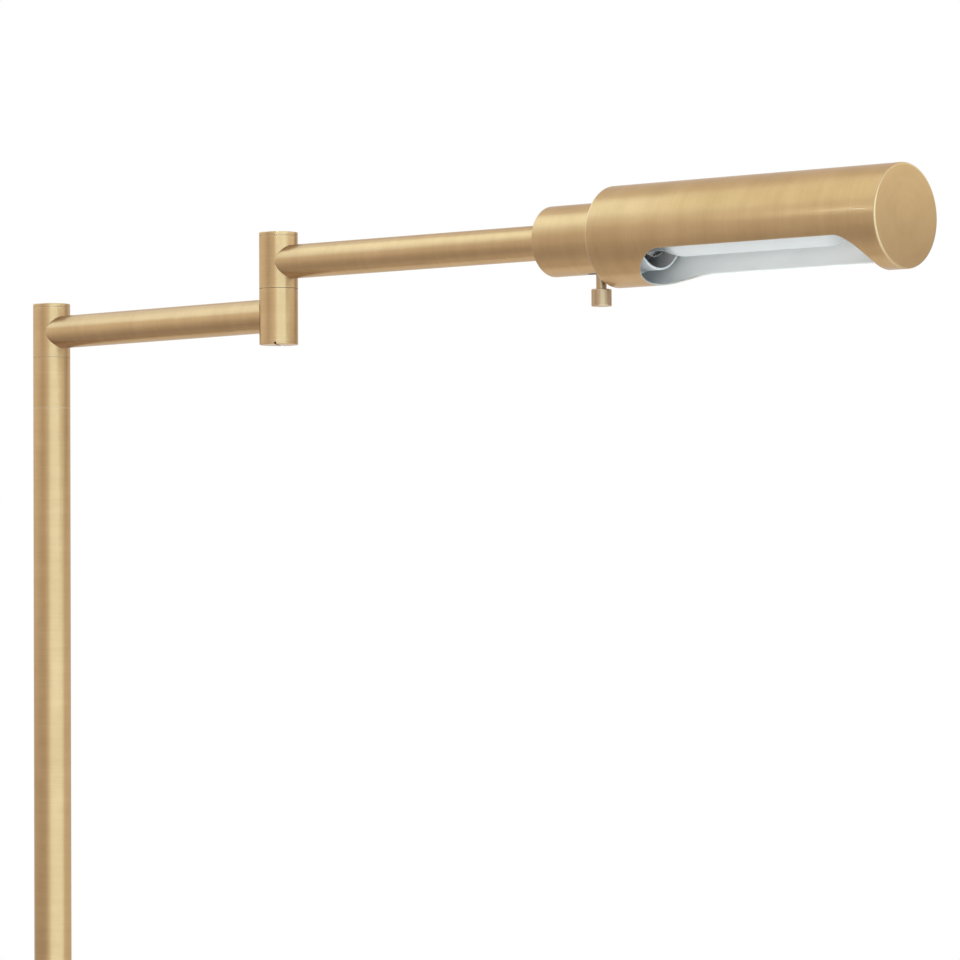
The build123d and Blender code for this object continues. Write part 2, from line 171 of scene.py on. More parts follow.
def newGroup(name, inputs, outputs):
    group = bpy.data.node_groups.new(name, "ShaderNodeTree")
    for title, kind in inputs:
        group.interface.new_socket(title, in_out="INPUT", socket_type=kind)
    for title, kind in outputs:
        group.interface.new_socket(title, in_out="OUTPUT", socket_type=kind)
    return group, group.nodes.new("NodeGroupInput"), group.nodes.new("NodeGroupOutput")


# lines left by brushing round an axis: noise that is long round the axis and short along it.
# On a flat end the distance from the axis takes the place of the height, so the lines are circles.

brushLines = {
    "broad": (0.012, 0.012, 0.15),      # per millimetre, across and along the axis
    "wide": (0.025, 0.025, 0.9),
    "thin": (0.09, 0.09, 6.0),
    "patch": 0.055,
    "broadShare": 0.35,                 # of the clouds
}


def turnedBrushGroup(spec):
    group, start, end = newGroup(
        "turnedBrush", [("Local", "NodeSocketVector")],
        [("Streak", "NodeSocketFloat"), ("Hair", "NodeSocketFloat"), ("Cloud", "NodeSocketFloat")],
    )
    local = start.outputs["Local"]
    split = node(group, "ShaderNodeSeparateXYZ", {"Vector": local}).outputs
    along = calc(group, "ADD", split["Z"], fromAxis(group, local))
    rolled = node(group, "ShaderNodeCombineXYZ", {"X": split["X"], "Y": split["Y"], "Z": along}).outputs[0]
    streak = noise(group, scaled(group, rolled, spec["wide"]), detail=3.0, roughness=0.6)
    hair = noise(group, scaled(group, rolled, spec["thin"]), roughness=0.6)
    band = noise(group, scaled(group, rolled, spec["broad"]))
    patch = noise(group, local, spec["patch"], detail=3.0, roughness=0.55)
    cloud = mixColours(group, spec["broadShare"], patch, band)
    group.links.new(streak, end.inputs["Streak"])
    group.links.new(hair, end.inputs["Hair"])
    group.links.new(cloud, end.inputs["Cloud"])
    return group


# where an edge is rubbed bright, and painted with a highlight as if it caught the light: the piece's own edge
# attribute, broken up by the clouds

edgeRubAndHighlight = {"cloudRange": (0.3, 0.7), "least": 0.35}


def edgeWearAndHighlightGroup(spec):
    group, start, end = newGroup(
        "edgeWearAndHighlight", [("Edge", "NodeSocketFloat"), ("Cloud", "NodeSocketFloat")],
        [("Mask", "NodeSocketFloat")],
    )
    patchy = mapRange(group, start.outputs["Cloud"], spec["cloudRange"], low=spec["least"])
    wornAndHighlight = calc(group, "MULTIPLY", start.outputs["Edge"], patchy)
    group.links.new(wornAndHighlight, end.inputs["Mask"])
    return group


# fine even grain of paint, rubber or castings, in the piece's own millimetres

def fineGrainGroup(cloudScale=0.04):
    group, start, end = newGroup(
        "fineGrain", [("Scale", "NodeSocketFloat")],
        [("Grain", "NodeSocketFloat"), ("Cloud", "NodeSocketFloat")],
    )
    place = node(group, "ShaderNodeTexCoord").outputs["Object"]
    inMm = node(group, "ShaderNodeVectorMath", {0: place, "Scale": 1 / mm}, operation="SCALE").outputs[0]
    fine = noise(group, inMm, start.outputs["Scale"], detail=3.0, roughness=0.6)
    group.links.new(fine, end.inputs["Grain"])
    group.links.new(noise(group, inMm, cloudScale), end.inputs["Cloud"])
    return group


turnedBrush = turnedBrushGroup(brushLines)
edgeWearAndHighlight = edgeWearAndHighlightGroup(edgeRubAndHighlight)
fineGrain = fineGrainGroup()


# satin brass

satinBrass = {
    "deep": colour(0.468, 0.301, 0.140),
    "light": colour(0.548, 0.360, 0.178),
    # edge colour: rubbed brass, and a painted highlight along rounded edges
    "wornAndHighlight": colour(0.640, 0.480, 0.290),
    "paintedReflection": colour(0.430, 0.320, 0.250),        # painted reflection: the duller colour brass takes where other brass mirrors it
    "rimTint": colour(0.78, 0.70, 0.62),            # seen flat along the metal
    "roughness": (0.27, 0.37),
    "coat": 0.22,
    "coatRoughness": 0.07,
    "lines": 0.75,                                  # strength of the brushed lines
    "brushDepth": 0.000012,                         # metres
    "cloudRange": (0.25, 0.75),
    "toneRange": (1.05, 1.95),                      # of lines and clouds together
    "shineRange": (0.6, 1.4),                       # of the lines alone
}
# knob and sleeve: the same brass painted darker, as painted shade under the lamp's shade
shadedKnobBrass = dict(satinBrass, deep=colour(0.400, 0.268, 0.148), light=colour(0.470, 0.322, 0.186))
# front cap: a weaker painted edge highlight, and fainter lines
capBrass = dict(satinBrass, wornAndHighlight=colour(0.560, 0.395, 0.215), lines=0.25)


def localPlace(tree, place):
    # object coordinates turned into the piece's own millimetres, with its axis as Z
    coordinates = node(tree, "ShaderNodeTexCoord").outputs["Object"]
    turn = Matrix((place["u"], place["v"], place["a"])).transposed().to_euler()
    inputs = {"Vector": coordinates, "Location": place["o"] * mm, "Rotation": turn, "Scale": (mm, mm, mm)}
    return node(tree, "ShaderNodeMapping", inputs, vector_type="TEXTURE").outputs[0]


def makeBrass(name, place, spec):
    material = bpy.data.materials.new(name)
    tree, shader = newTree(material)
    brush = node(tree, "ShaderNodeGroup", {"Local": localPlace(tree, place)}, node_tree=turnedBrush).outputs
    edge = node(tree, "ShaderNodeAttribute", attribute_name="edge").outputs["Fac"]
    wearAndHighlight = node(tree, "ShaderNodeGroup", {"Edge": edge, "Cloud": brush["Cloud"]}, node_tree=edgeWearAndHighlight)
    both = calc(tree, "ADD", brush["Streak"], brush["Hair"])
    faint = mapRange(tree, both, (0.0, 2.0), 1.0 - spec["lines"], 1.0 + spec["lines"])
    blotch = calc(tree, "ADD", faint, mapRange(tree, brush["Cloud"], spec["cloudRange"]))
    base = mixColours(tree, mapRange(tree, blotch, spec["toneRange"]), spec["deep"], spec["light"])
    # rubbed edges, and a painted highlight along them as if they caught the light
    base = mixColours(tree, wearAndHighlight.outputs["Mask"], base, spec["wornAndHighlight"])
    # painted reflection: in reflections the brass takes a duller colour, so brass seen in brass is less orange
    paintedReflection = node(tree, "ShaderNodeLightPath").outputs["Is Glossy Ray"]
    base = mixColours(tree, paintedReflection, base, spec["paintedReflection"])
    tree.links.new(base, shader.inputs["Base Color"])
    rough = mapRange(tree, faint, spec["shineRange"], *spec["roughness"])
    tree.links.new(rough, shader.inputs["Roughness"])
    bump = node(tree, "ShaderNodeBump", {"Height": faint, "Strength": 1.0, "Distance": spec["brushDepth"]})
    tree.links.new(bump.outputs["Normal"], shader.inputs["Normal"])
    shader.inputs["Metallic"].default_value = 1.0
    shader.inputs["Specular Tint"].default_value = spec["rimTint"]
    shader.inputs["Coat Weight"].default_value = spec["coat"]
    shader.inputs["Coat Roughness"].default_value = spec["coatRoughness"]
    return material


brassPole = makeBrass("brassPole", polePlace, satinBrass)
brassElbow = makeBrass("brassElbow", elbowPlace, satinBrass)
brassLowerArm = makeBrass("brassLowerArm", lowerArmPlace, satinBrass)
brassHead = makeBrass("brassHead", headPlace, satinBrass)
brassKnobShaded = makeBrass("brassKnobShaded", knobPlace, shadedKnobBrass)
brassFace = makeBrass("brassFace", headPlace, capBrass)


# plain finishes: colour pair, roughness pair, grain in lines per millimetre, bump depth in metres

finishes = {
    "whiteEnamel": {"pair": ((0.835, 0.835, 0.82), (0.885, 0.885, 0.87)), "rough": (0.36, 0.46),
                    "grain": 1.4, "depth": 0.00003, "metal": 0.0},
    "zincSteel": {"pair": ((0.48, 0.48, 0.50), (0.60, 0.60, 0.61)), "rough": (0.30, 0.48),
                  "grain": 2.0, "depth": 0.00001, "metal": 1.0},
    "bareBrass": {"pair": ((0.62, 0.43, 0.17), (0.74, 0.54, 0.25)), "rough": (0.24, 0.40),
                  "grain": 2.0, "depth": 0.00001, "metal": 1.0},
    "nickelPlate": {"pair": ((0.56, 0.55, 0.52), (0.66, 0.65, 0.62)), "rough": (0.18, 0.32),
                    "grain": 2.0, "depth": 0.00001, "metal": 1.0},
    "castIron": {"pair": ((0.07, 0.07, 0.07), (0.15, 0.145, 0.14)), "rough": (0.65, 0.85),
                 "grain": 0.9, "depth": 0.0002, "metal": 0.0},
    "blackFelt": {"pair": ((0.018, 0.018, 0.019), (0.055, 0.054, 0.052)), "rough": (0.9, 1.0),
                  "grain": 3.0, "depth": 0.0004, "metal": 0.0},
    "blackRubber": {"pair": ((0.022, 0.022, 0.022), (0.042, 0.042, 0.042)), "rough": (0.5, 0.68),
                    "grain": 2.2, "depth": 0.00004, "metal": 0.0},
    "greyNylon": {"pair": ((0.17, 0.17, 0.17), (0.23, 0.23, 0.23)), "rough": (0.42, 0.55),
                  "grain": 1.8, "depth": 0.00002, "metal": 0.0},
    "darkPhenolic": {"pair": ((0.045, 0.038, 0.036), (0.075, 0.064, 0.060)), "rough": (0.28, 0.42),
                     "grain": 1.2, "depth": 0.00002, "metal": 0.0},
    "seamGrease": {"pair": ((0.170, 0.098, 0.020), (0.220, 0.130, 0.030)), "rough": (0.80, 0.95),
                   "grain": 1.5, "depth": 0.00002, "metal": 0.0},
    "frostedBulb": {"pair": ((0.583, 0.575, 0.547), (0.626, 0.617, 0.587)), "rough": (0.42, 0.52),
                    "grain": 4.0, "depth": 0.000006, "metal": 0.0, "sheen": 0.35},
}
toneRange = (0.7, 1.3)                  # of grain and clouds together
grainRange = (0.3, 0.7)


def makeFinish(name, spec):
    material = bpy.data.materials.new(name)
    tree, shader = newTree(material)
    grain = node(tree, "ShaderNodeGroup", {"Scale": spec["grain"]}, node_tree=fineGrain).outputs
    tone = mapRange(tree, calc(tree, "ADD", grain["Grain"], grain["Cloud"]), toneRange)
    dark, light = spec["pair"]
    tree.links.new(mixColours(tree, tone, colour(*dark), colour(*light)), shader.inputs["Base Color"])
    tree.links.new(mapRange(tree, grain["Grain"], grainRange, *spec["rough"]), shader.inputs["Roughness"])
    inputs = {"Height": grain["Grain"], "Strength": 1.0, "Distance": spec["depth"]}
    tree.links.new(node(tree, "ShaderNodeBump", inputs).outputs["Normal"], shader.inputs["Normal"])
    shader.inputs["Metallic"].default_value = spec["metal"]
    shader.inputs["Sheen Weight"].default_value = spec.get("sheen", 0.0)
    return material


finish = {name: makeFinish(name, spec) for name, spec in finishes.items()}


# socket cup: brass behind, grey paint in its hollow and where it stands inside the shade, the hollow painted
# darker as shade and the outside paler as light, and a pale rim that is a painted highlight

cupPaint = {
    "hollowFrom": 236.0, "hollowRadius": 21.6,      # millimetres from the elbow, and from the axis
    "outsideFrom": 294.0, "rimFrom": 318.7, "blur": 0.05,
    # painted light and shade: one grey paint, darker in the hollow and paler outside
    "inside": colour(0.74, 0.70, 0.665), "outside": colour(0.86, 0.80, 0.77),
    # pale rim: a painted highlight where the rim catches the light
    "rim": colour(0.80, 0.78, 0.74), "roughness": 0.45,
}


def makePaintedCup(place, brass, paint):
    material = makeBrass("paintedCup", place, brass)
    tree = material.node_tree
    shader = tree.nodes["Principled BSDF"]
    local = localPlace(tree, place)
    along = node(tree, "ShaderNodeSeparateXYZ", {"Vector": local}).outputs["Z"]

    def past(value, limit):
        return mapRange(tree, value, (limit - paint["blur"], limit + paint["blur"]))

    within = calc(tree, "SUBTRACT", 1.0, past(fromAxis(tree, local), paint["hollowRadius"]))
    hollow = calc(tree, "MULTIPLY", within, past(along, paint["hollowFrom"]))
    painted = calc(tree, "MAXIMUM", hollow, past(along, paint["outsideFrom"]))
    # painted shade in the hollow, painted light outside it
    grey = mixColours(tree, hollow, paint["outside"], paint["inside"])
    # painted highlight on the rim
    coat = mixColours(tree, past(along, paint["rimFrom"]), grey, paint["rim"])
    bare = shader.inputs["Base Color"].links[0].from_socket
    tree.links.new(mixColours(tree, painted, bare, coat), shader.inputs["Base Color"])
    brushed = shader.inputs["Roughness"].links[0].from_socket
    matt = mixColours(tree, painted, brushed, colour(*3 * [paint["roughness"]]))
    tree.links.new(matt, shader.inputs["Roughness"])
    tree.links.new(mapRange(tree, painted, (0.0, 1.0), 1.0, 0.0), shader.inputs["Metallic"])
    tree.links.new(mapRange(tree, painted, (0.0, 1.0), brass["coat"], 0.0), shader.inputs["Coat Weight"])
    return material


paintedCup = makePaintedCup(headPlace, satinBrass, cupPaint)


# coats that fade out towards the back, between two distances from the elbow: the enamel on the mouth's cut
# edge, darkened towards the back as painted shade, the enamel on the bush, which it only reaches in front, and
# the frost of the bulb, darkened at its neck as painted shadow inside the cup

fades = {
    # painted shade: the cut edge of the mouth darkens towards the back
    "rimEnamelShadedBack": {"coat": "whiteEnamel", "behind": colour(0.46, 0.42, 0.37), "span": (333.0, 346.0)},
    "bushEnamel": {"coat": "whiteEnamel", "behind": colour(0.20, 0.20, 0.20), "span": (288.6, 289.0)},
    # painted shadow: the bulb darkens at its neck, inside the cup
    "bulbFrostShadedNeck": {"coat": "frostedBulb", "behind": colour(0.20, 0.195, 0.19), "span": (328.0, 339.0)},
}


def makeFadedCoat(name, place, fade):
    material = makeFinish(name, finishes[fade["coat"]])
    tree = material.node_tree
    shader = tree.nodes["Principled BSDF"]
    along = node(tree, "ShaderNodeSeparateXYZ", {"Vector": localPlace(tree, place)}).outputs["Z"]
    cover = mapRange(tree, along, fade["span"])
    full = shader.inputs["Base Color"].links[0].from_socket
    tree.links.new(mixColours(tree, cover, fade["behind"], full), shader.inputs["Base Color"])
    return material


faded = {name: makeFadedCoat(name, headPlace, fade) for name, fade in fades.items()}
print("materials:", len(bpy.data.materials))


# surfaces on grids

def gridFaces(rows, columns, loopRows=True, loopColumns=True):
    # quad between each grid point and its next neighbours, with the grid closed on itself where it loops
    i = np.arange(rows if loopRows else rows - 1)[:, None]
    j = np.arange(columns if loopColumns else columns - 1)[None, :]
    nextI = (i + 1) % rows
    nextJ = (j + 1) % columns
    corners = (i * columns + j, i * columns + nextJ, nextI * columns + nextJ, nextI * columns + j)
    return np.stack(np.broadcast_arrays(*corners), -1).reshape(-1, 4)


def turnAngles(turns):
    return np.linspace(0, fullTurn, turns, endpoint=False)


def pointsAt(place, radius, height, angle):
    # radius r, height h and angle t give the point o + h a + r (u cos t + v sin t)
    across = np.cos(angle)[..., None] * place["u"] + np.sin(angle)[..., None] * place["v"]
    return place["o"] + height[..., None] * place["a"] + radius[..., None] * across


def roundedOutline(corners, steps=6, hold=0.35):
    # closed outline of (radius, height, rounding): each corner becomes a parabola between two points that lie
    # the rounding away from it, with one more point on either side that holds the flat next to it
    corner = np.array(corners, float)
    at = corner[:, :2]
    cut = corner[:, 2:]
    back = np.roll(at, 1, 0) - at
    ahead = np.roll(at, -1, 0) - at
    backLength = np.linalg.norm(back, axis=1, keepdims=True)
    aheadLength = np.linalg.norm(ahead, axis=1, keepdims=True)
    first = at + back / backLength * cut
    last = at + ahead / aheadLength * cut
    t = np.linspace(0, 1, steps)[None, :, None]
    arc = (1 - t) ** 2 * first[:, None] + 2 * t * (1 - t) * at[:, None] + t ** 2 * last[:, None]
    room = hold * (cut > 0)
    before = first + back / backLength * np.minimum(room, np.maximum(backLength - cut, 0) / 3)
    after = last + ahead / aheadLength * np.minimum(room, np.maximum(aheadLength - cut, 0) / 3)
    outline = np.concatenate([before[:, None], arc, after[:, None]], 1)
    edge = np.zeros((len(at), steps + 2))
    edge[:, 1:-1] = cut > 0
    return outline.reshape(-1, 2), edge.reshape(-1)


def lathe(outline, place, turns):
    points = pointsAt(place, outline[:, :1], outline[:, 1:], turnAngles(turns))
    return points.reshape(-1, 3), gridFaces(len(outline), turns)


def turnedShape(corners, place, turns):
    outline, edge = roundedOutline(corners)
    points, faces = lathe(outline, place, turns)
    return points, faces, np.repeat(edge, turns)


def addPiece(spec, points, faces, edge, materials, slots=None, sharp=38.0, weld=1e-6):
    # points in millimetres and faces become one welded mesh that rides on its body
    mesh = bpy.data.meshes.new(spec["name"])
    mesh.from_pydata((points.reshape(-1, 3) * mm).tolist(), [], faces.tolist())
    mesh.attributes.new("edge", "FLOAT", "POINT").data.foreach_set("value", np.array(edge, np.float32))
    for material in materials:
        mesh.materials.append(material)
    if slots is not None:
        mesh.polygons.foreach_set("material_index", np.array(slots, np.int32))
    welded = bmesh.new()
    welded.from_mesh(mesh)
    bmesh.ops.remove_doubles(welded, verts=welded.verts, dist=weld)
    bmesh.ops.recalc_face_normals(welded, faces=welded.faces)
    welded.to_mesh(mesh)
    welded.free()
    mesh.polygons.foreach_set("use_smooth", np.ones(len(mesh.polygons), bool))
    mesh.set_sharp_from_angle(angle=math.radians(sharp))
    piece = bpy.data.objects.new(spec["name"], mesh)
    scene.collection.objects.link(piece)
    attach(piece, spec["body"])
    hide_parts(*spec["nodes"])
    return piece


def addTurned(spec, place, material, turns=128):
    points, faces, edge = turnedShape(spec["outline"], place, turns)
    return addPiece(spec, points, faces, edge, [material])


# foot pad of felt: a disc whose radius wanders a little, in slow waves round its soft edge

footPad = {
    "name": "footPad", "body": "stand", "nodes": ["base_pad"], "slot": "black_felt",
    "radius": 121.5, "thick": 2.0, "soft": 0.7, "wander": 0.25, "rimPower": 8,
    "waves": [(23, 1.0, 0.0), (41, 0.7, 1.3), (67, 0.5, 2.1)],     # count round the edge, height, start
}


def addFootPad(spec, turns=240):
    r, t, soft = spec["radius"], spec["thick"], spec["soft"]
    points, faces, edge = turnedShape([(0, 0, 0), (r, 0, soft), (r, t, soft), (0, t, 0)], polePlace, turns)
    angle = np.arctan2(points[:, 1], points[:, 0])
    highest = sum(height for count, height, start in spec["waves"])
    wave = sum(height * np.sin(count * angle + start) for count, height, start in spec["waves"])
    reach = np.hypot(points[:, 0], points[:, 1])
    pull = spec["wander"] * (wave - highest) / highest * (reach / r) ** spec["rimPower"]
    points[:, :2] *= (1 + pull / r)[:, None]
    return addPiece(spec, points, faces, 0 * edge, [finish["blackFelt"]])


addFootPad(footPad)


# pole and its swivel seat, knuckles and caps: outlines of (radius, height, rounding)

pole = {
    "inner": 11.1, "foot": 26.0, "joint": 666.0, "top": 1254.0, "footEdge": 0.25, "jointEdge": 0.12,
    "spigot": 11.07, "spigotLow": 1232.0, "spigotEdge": 0.3,
}
swivel = {
    "radius": 12.7, "edge": 0.15,                   # the pole has this radius too
    "bore": 9.5, "end": 9.0,                        # hollow, and the solid end at the seam
    "tightHole": 6.03, "looseHole": 6.05,           # where the pivot is held, and where it turns
    "grooveIn": 8.6, "grooveOut": 11.5, "grooveDepth": 1.75,
    "lipIn": 11.7, "poleLip": 0.24, "poleLipEdge": 0.08, "elbowLip": 0.15,
    "greaseEdge": 0.2, "greaseReach": 2.0,          # along the axis, on the edge and inside the seam
}
coverDisc = {
    "thick": 2.7, "edge": 0.45, "lowEdge": 0.1, "gap": 0.35, "neck": 12.1,
    "collarOut": 9.47, "collarIn": 7.97, "collarDepth": 4.0, "collarEdge": 0.2,
}
armLow = lowerAxis - hubHeight / 2
armTop = lowerAxis + hubHeight / 2
headLow = elbow[2] - hubHeight / 2
headTop = elbow[2] + hubHeight / 2
seatTop = armLow - seam


def turningHalf(low):
    # knuckle that turns on its pivot: solid end below with the ring groove of the stop, hollow above
    s = swivel
    top, end, roof = low + hubHeight, low + s["end"], low + s["grooveDepth"]
    return [
        (s["radius"], low, s["edge"]), (s["radius"], top, s["edge"]), (s["bore"], top, 0),
        (s["bore"], end, 0), (s["looseHole"], end, 0), (s["looseHole"], low, 0), (s["grooveIn"], low, 0),
        (s["grooveIn"], roof, 0), (s["grooveOut"], roof, 0), (s["grooveOut"], low, 0),
    ]


def holdingHalf(low, top, lip, lipEdge):
    # barrel that holds the pivot: solid end above with a low lip that narrows the seam, hollow below
    s = swivel
    end = top - s["end"]
    return [
        (s["radius"], low, s["edge"]), (s["radius"], top + lip, lipEdge), (s["lipIn"], top + lip, 0),
        (s["lipIn"], top, 0), (s["tightHole"], top, 0), (s["tightHole"], end, 0), (s["bore"], end, 0),
        (s["bore"], low, 0),
    ]


def seatOutline():
    # the hollow of the pole's barrel goes on down through a spigot inside the tube
    p = pole
    barrel = holdingHalf(p["top"], seatTop, swivel["poleLip"], swivel["poleLipEdge"])
    return barrel[:-1] + [
        (swivel["bore"], p["spigotLow"], 0), (p["spigot"], p["spigotLow"], p["spigotEdge"]),
        (p["spigot"], p["top"], 0),
    ]


def tubeOutline(low, high, lowEdge, highEdge):
    outer, inner = swivel["radius"], pole["inner"]
    return [(outer, low, lowEdge), (outer, high, highEdge), (inner, high, 0), (inner, low, 0)]


def coverCap(low):
    # disc with a rounded upper edge, a narrow shadow gap under it and a short collar inside the knuckle
    c = coverDisc
    r, top, gap, foot = swivel["radius"], low + c["thick"], low + c["gap"], low - c["collarDepth"]
    return [
        (0, top, 0), (r, top, c["edge"]), (r, gap, c["lowEdge"]), (c["neck"], gap, 0), (c["neck"], low, 0),
        (c["collarOut"], low, 0), (c["collarOut"], foot, c["collarEdge"]), (c["collarIn"], foot, 0),
        (c["collarIn"], low, 0), (0, low, 0),
    ]


poleLower = {
    "name": "poleLower", "body": "stand", "nodes": ["pole_lower_tube"], "slot": "satin_brass",
    "outline": tubeOutline(pole["foot"], pole["joint"], pole["footEdge"], pole["jointEdge"]),
}
poleUpper = {
    "name": "poleUpper", "body": "stand", "nodes": ["pole_upper_tube"], "slot": "satin_brass",
    "outline": tubeOutline(pole["joint"], pole["top"], pole["jointEdge"], swivel["edge"]),
}
poleSeat = {
    "name": "poleSeat", "body": "stand", "nodes": ["pole_swivel_seat"], "slot": "satin_brass",
    "outline": seatOutline(), "seamAt": seatTop + swivel["poleLip"],
}
poleKnuckle = {
    "name": "poleKnuckle", "body": "lower_arm", "nodes": ["pole_knuckle"], "slot": "satin_brass",
    "outline": turningHalf(armLow), "seamAt": armLow,
}
poleCap = {
    "name": "poleCap", "body": "lower_arm", "nodes": ["pole_top_cap"], "slot": "satin_brass",
    "outline": coverCap(armTop),
}
elbowLower = {
    "name": "elbowLower", "body": "lower_arm", "nodes": ["elbow_lower_knuckle"], "slot": "satin_brass",
    "outline": holdingHalf(armLow, armTop, swivel["elbowLip"], swivel["edge"]),
    "seamAt": armTop + swivel["elbowLip"],
}
elbowUpper = {
    "name": "elbowUpper", "body": "upper_arm", "nodes": ["elbow_upper_knuckle"], "slot": "satin_brass",
    "outline": turningHalf(headLow), "seamAt": headLow,
}
elbowCap = {
    "name": "elbowCap", "body": "upper_arm", "nodes": ["elbow_top_cap"], "slot": "satin_brass",
    "outline": coverCap(headTop),
}


def addBarrel(spec, place, material, turns=128):
    # half of a swivel: its rounded edge and its faces in the seam are brown with grease
    points, faces, edge = turnedShape(spec["outline"], place, turns)
    middle = points[faces].mean(1) - place["o"]
    away = np.abs(middle[:, 2] - spec["seamAt"])
    within = np.hypot(middle[:, 0], middle[:, 1]) < swivel["radius"] - swivel["greaseEdge"]
    greased = (away < swivel["greaseEdge"]) | (within & (away < swivel["greaseReach"]))
    return addPiece(spec, points, faces, edge, [material, finish["seamGrease"]], greased)


for spec in (poleLower, poleUpper, poleCap):
    addTurned(spec, polePlace, brassPole)
addTurned(elbowCap, elbowPlace, brassElbow)
for spec in (poleSeat, poleKnuckle):
    addBarrel(spec, polePlace, brassPole)
for spec in (elbowLower, elbowUpper):
    addBarrel(spec, elbowPlace, brassElbow)


# arms: tubes whose ends are cut to the barrel of a knuckle

armTube = {
    "outer": 11.1, "inner": 9.6, "barrel": 12.75, "lip": 0.6, "farLip": 0.2,
    "lipSteps": 7, "lipRun": 2,         # rows of a lip, and where the row after them lies, in lips
}
lowerArm = dict(
    armTube, name="lowerArm", body="lower_arm", nodes=["lower_arm_tube"], slot="satin_brass",
    length=231.0, farBarrel=True,
)
upperArm = dict(
    armTube, name="upperArm", body="upper_arm", nodes=["upper_arm_tube"], slot="satin_brass",
    length=234.5, farBarrel=False,
)


def addArm(spec, place, material, turns=160):
    # at angle t a wall line of radius r starts sqrt(barrel^2 - (r sin t)^2) from the knuckle's axis,
    # and ends as far from the other knuckle, or square against the cup; both ends have a rounded lip
    t = turnAngles(turns)
    quarter = np.linspace(0, quarterTurn, spec["lipSteps"])
    lip, farLip, outer, inner = spec["lip"], spec["farLip"], spec["outer"], spec["inner"]
    sunk = 1 - np.sin(quarter)
    into = np.append(1 - np.cos(quarter), spec["lipRun"])[:, None]
    half = len(into)                                # rows of the outside that belong to either end
    r = np.concatenate([outer - lip * sunk, [outer, outer], outer - farLip * sunk[::-1], [inner, inner]])
    r = r[:, None]
    near = np.sqrt(spec["barrel"] ** 2 - (r * np.sin(t)) ** 2)
    far = spec["length"] - near * spec["farBarrel"]
    h = np.concatenate([
        near[:half] + lip * into, far[half:2 * half] - farLip * into[::-1], far[-2:-1], near[-1:],
    ])
    edge = np.concatenate([sunk, [0, 0], sunk[::-1], [0, 0]])
    points = pointsAt(place, r, h, t)
    return addPiece(spec, points, gridFaces(len(r), turns), np.repeat(edge, turns), [material])


addArm(lowerArm, lowerArmPlace, brassLowerArm)
addArm(upperArm, headPlace, brassHead)


# switch knob

knobPiece = {
    "name": "switchKnob", "body": "knob", "nodes": ["switch_knob"], "slot": "satin_brass",
    "top": 31.675, "height": 10.7, "radius": 6.3, "edge": 0.5, "bore": 1.43, "boreDepth": 7.0,
}


def addKnob(spec, turns=96):
    top, low, r = spec["top"], spec["top"] + spec["height"], spec["radius"]
    bored = dict(spec, outline=[
        (r, top, spec["edge"]), (r, low, spec["edge"]), (0, low, 0), (0, top + spec["boreDepth"], 0),
        (spec["bore"], top + spec["boreDepth"], 0), (spec["bore"], top, 0),
    ])
    return addTurned(bored, knobPlace, brassKnobShaded, turns)


addKnob(knobPiece)
print("arms and knob done")


# shade: one wall with a wrapped mouth

shadeTube = {
    "name": "shadeTube", "body": "shade", "nodes": ["shade_tube"], "slot": "satin_brass",
    "radius": 31.75, "wall": 1.0, "length": 218.6, "rearRound": 0.8,
    "mouthWidth": 49.5, "mouthRear": 31.5, "mouthFront": 207.9, "mouthCorner": 20.5, "rimBevel": 0.3,
    "columns": 176, "arcSteps": 41, "rearEvery": 5, "sideSteps": 14, "frontStep": 0.04, "endStep": 1.0,
}


def mouthHalfWidth(s, spec):
    # half a circle behind, then straight sides, then corner arcs down to a short straight front edge
    half = spec["mouthWidth"] / 2
    corner = spec["mouthCorner"]
    behind = np.clip(spec["mouthRear"] + half - s, 0, half)
    ahead = np.clip(s - spec["mouthFront"] + corner, 0, corner)
    width = np.sqrt(half ** 2 - behind ** 2) + np.sqrt(corner ** 2 - ahead ** 2) - corner
    return np.where((s <= spec["mouthRear"]) | (s > spec["mouthFront"]), 0, width)


def shadeStations(spec):
    # distances along the shade, close together where the mouth's outline turns
    half = spec["mouthWidth"] / 2
    turn = np.linspace(0, quarterTurn, spec["arcSteps"])
    rear = spec["rearRound"] * (1 - np.cos(turn[::spec["rearEvery"]]))
    ends = [2 * spec["rearRound"], spec["mouthRear"] / 2]
    behind = spec["mouthRear"] + half * (1 - np.cos(turn))
    ahead = spec["mouthFront"] - spec["mouthCorner"] * (1 - np.sin(turn))
    middle = np.linspace(behind[-1], ahead[0], spec["sideSteps"])[1:-1]
    tail = [spec["mouthFront"] + spec["frontStep"], spec["length"] - spec["endStep"], spec["length"]]
    return np.concatenate([rear, ends, behind, middle, ahead, tail])


